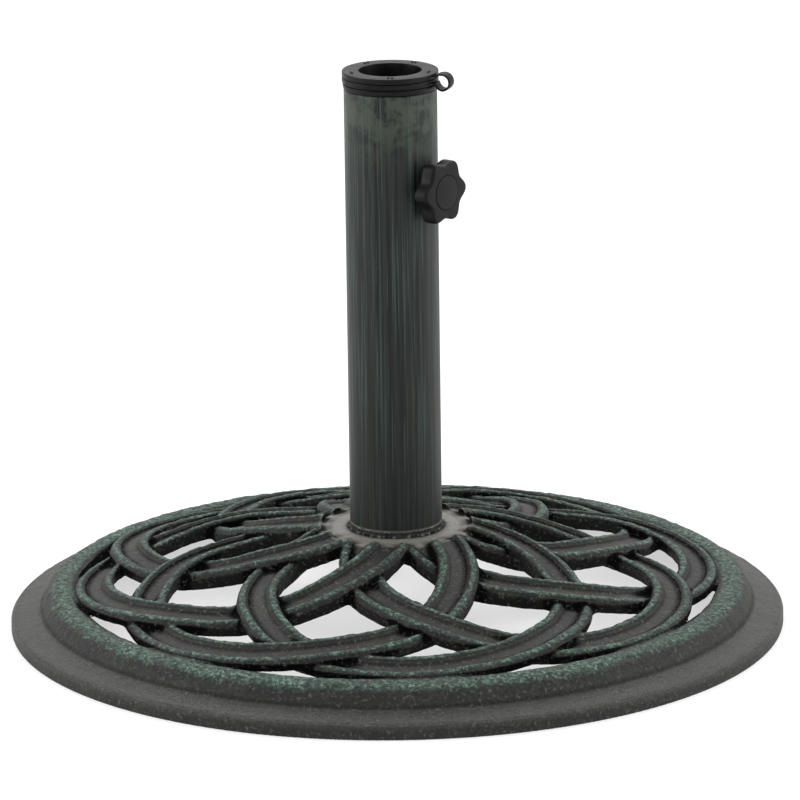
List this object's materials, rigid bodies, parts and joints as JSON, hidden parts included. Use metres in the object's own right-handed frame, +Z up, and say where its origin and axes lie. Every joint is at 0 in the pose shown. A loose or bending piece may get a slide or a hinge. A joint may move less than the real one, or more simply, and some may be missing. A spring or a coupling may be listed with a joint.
{
  "type": "parasol base",
  "caption": "Round cast-iron parasol base with a woven openwork dome, an upright tube, a plastic collar with a tethered pole reducer and a star-shaped clamp knob.",
  "frame": {"origin": "centre of the base on the floor, under the tube's axis", "axes": "+Z up along the tube; +X from the tube's axis through the clamp knob"},
  "size_m": [0.48, 0.48, 0.3496],
  "materials": {
    "iron": "sand-cast iron, dark grey paint with rubbed verdigris green on the raised edges",
    "tube_paint": "dark green-black paint with vertical brushed streaks, satin",
    "plate_steel": "plain welded steel",
    "nut_steel": "plain steel",
    "bolt_zinc": "zinc plated, satin",
    "lock_washer_zinc": "zinc plated, satin",
    "washer_zinc": "zinc plated, satin",
    "collar_plastic": "moulded black plastic, satin",
    "reducer_plastic": "moulded black plastic, satin",
    "strap_plastic": "flexible black plastic, satin",
    "clamp_nut_steel": "plain steel",
    "screw_zinc": "zinc plated, satin",
    "knob_plastic": "moulded black plastic, satin",
    "knob_cap_plastic": "moulded black plastic, satin"
  },
  "bodies": {
    "stand": {"cast_base": "iron", "tube": "tube_paint", "foot_plate": "plate_steel", "foot_nut": "nut_steel", "foot_bolt": "bolt_zinc", "foot_lock_washer": "lock_washer_zinc", "foot_washer": "washer_zinc", "collar_bushing": "collar_plastic", "clamp_nut": "clamp_nut_steel", "reducer_strap": "strap_plastic"},
    "reducer": {"pole_reducer": "reducer_plastic"},
    "screw": {"clamp_screw": "screw_zinc"},
    "knob": {"knob_body": "knob_plastic", "knob_cap": "knob_cap_plastic"}
  },
  "joints": [
    {"name": "reducer_lift", "type": "slide", "parent": "stand", "child": "reducer", "axis": [0, 0, 1], "range_m": [0, 0.015], "deforming": ["reducer_strap"]},
    {"name": "clamp_travel", "type": "slide", "parent": "stand", "child": "screw", "axis": [1, 0, 0], "range_m": [0, 0.01125]},
    {"name": "knob_turn", "type": "hinge", "parent": "screw", "child": "knob", "pos_m": [0.0325, 0, 0.278], "axis": [1, 0, 0], "range_deg": [0, 3240]}
  ],
  "couplings": [
    {"joint": "knob_turn", "follows": "clamp_travel", "rad_per_m": 5026.5}
  ]
}
